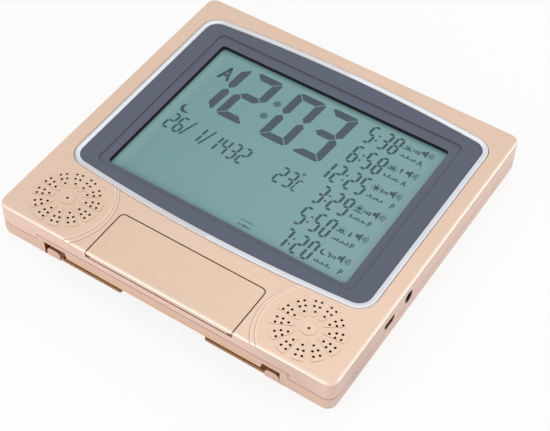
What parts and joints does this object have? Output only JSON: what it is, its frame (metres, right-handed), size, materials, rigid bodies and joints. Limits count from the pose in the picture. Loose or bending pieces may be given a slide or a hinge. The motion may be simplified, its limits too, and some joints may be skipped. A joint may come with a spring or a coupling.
{
  "type": "azan clock",
  "caption": "Slim wall and desk prayer-time clock with a large liquid crystal display, round speaker grilles, a flip-down lid over its keys and fold-out rear legs.",
  "frame": {"origin": "centre of the bounding box in plan, on the plane of the case's back, on which the clock lies", "axes": "+X to the right of the display, +Y towards the display's top, +Z out of the display's face"},
  "size_m": [0.225, 0.215, 0.027],
  "materials": {
    "gold_plastic": "satin metallic champagne paint",
    "slate_plastic": "satin dark slate",
    "silver_trim": "bright silver paint",
    "display_glass": "reflective liquid crystal display, anti-glare front",
    "clear_guide": "frosted acrylic",
    "white_plastic": "moulded white plastic",
    "black_rubber": "matt",
    "green_board": "solder mask over glass fibre",
    "black_parts": "moulded black",
    "screw_steel": "zinc plated",
    "contact_steel": "nickel plated",
    "cell_can": "printed steel can, plain",
    "speaker_steel": "black painted pressed steel",
    "speaker_cone": "black treated paper",
    "magnet_black": "ferrite with plated yoke",
    "socket_plastic": "dark grey moulding",
    "key_plastic": "satin grey"
  },
  "bodies": {
    "root": {"front_shell": "gold_plastic", "rear_shell": "gold_plastic", "trim_ring": "silver_trim", "display_bezel": "slate_plastic", "lcd_glass": "display_glass", "light_guide": "clear_guide", "lcd_tray": "white_plastic", "zebra_strip": "black_rubber", "main_board": "green_board", "keypad_board": "green_board", "socket_board": "green_board", "main_board_parts": "black_parts", "key_switches": "black_parts", "tray_screws": "screw_steel", "board_screws": "screw_steel", "case_screws": "screw_steel", "battery_cells": "cell_can", "battery_contacts": "contact_steel", "power_jack": "socket_plastic", "data_socket": "contact_steel", "left_speaker_gasket": "black_rubber", "left_speaker_basket": "speaker_steel", "left_speaker_cone": "speaker_cone", "left_speaker_magnet": "magnet_black", "right_speaker_gasket": "black_rubber", "right_speaker_basket": "speaker_steel", "right_speaker_cone": "speaker_cone", "right_speaker_magnet": "magnet_black"},
    "lid": {"keypad_lid": "gold_plastic"},
    "left_leg": {"left_leg": "gold_plastic", "left_leg_screw": "screw_steel"},
    "right_leg": {"right_leg": "gold_plastic", "right_leg_screw": "screw_steel"},
    "battery_door": {"battery_door": "gold_plastic"},
    "key_1": {"key_1": "key_plastic"},
    "key_2": {"key_2": "key_plastic"},
    "key_3": {"key_3": "key_plastic"},
    "key_4": {"key_4": "key_plastic"},
    "key_5": {"key_5": "key_plastic"},
    "key_6": {"key_6": "key_plastic"},
    "key_7": {"key_7": "key_plastic"},
    "key_8": {"key_8": "key_plastic"}
  },
  "joints": [
    {"name": "lid_hinge", "type": "hinge", "parent": "root", "child": "lid", "pos_m": [0, -0.1056, 0.0244], "axis": [1, 0, 0], "range_deg": [0, 100]},
    {"name": "left_leg_hinge", "type": "hinge", "parent": "root", "child": "left_leg", "pos_m": [-0.0744, -0.1015, 0.0049], "axis": [0, 1, 0], "range_deg": [0, 90]},
    {"name": "right_leg_hinge", "type": "hinge", "parent": "root", "child": "right_leg", "pos_m": [0.0744, -0.1015, 0.0049], "axis": [0, -1, 0], "range_deg": [0, 90]},
    {"name": "battery_door_hinge", "type": "hinge", "parent": "root", "child": "battery_door", "pos_m": [0, -0.0458, 0.0001], "axis": [1, 0, 0], "range_deg": [0, 50]},
    {"name": "key_1_press", "type": "slide", "parent": "root", "child": "key_1", "axis": [0, 0, -1], "range_m": [0, 0.0003], "stiffness_N_per_m": 800, "springref_m": -0.0003},
    {"name": "key_2_press", "type": "slide", "parent": "root", "child": "key_2", "axis": [0, 0, -1], "range_m": [0, 0.0003], "stiffness_N_per_m": 800, "springref_m": -0.0003},
    {"name": "key_3_press", "type": "slide", "parent": "root", "child": "key_3", "axis": [0, 0, -1], "range_m": [0, 0.0003], "stiffness_N_per_m": 800, "springref_m": -0.0003},
    {"name": "key_4_press", "type": "slide", "parent": "root", "child": "key_4", "axis": [0, 0, -1], "range_m": [0, 0.0003], "stiffness_N_per_m": 800, "springref_m": -0.0003},
    {"name": "key_5_press", "type": "slide", "parent": "root", "child": "key_5", "axis": [0, 0, -1], "range_m": [0, 0.0003], "stiffness_N_per_m": 800, "springref_m": -0.0003},
    {"name": "key_6_press", "type": "slide", "parent": "root", "child": "key_6", "axis": [0, 0, -1], "range_m": [0, 0.0003], "stiffness_N_per_m": 800, "springref_m": -0.0003},
    {"name": "key_7_press", "type": "slide", "parent": "root", "child": "key_7", "axis": [0, 0, -1], "range_m": [0, 0.0003], "stiffness_N_per_m": 800, "springref_m": -0.0003},
    {"name": "key_8_press", "type": "slide", "parent": "root", "child": "key_8", "axis": [0, 0, -1], "range_m": [0, 0.0003], "stiffness_N_per_m": 800, "springref_m": -0.0003}
  ]
}
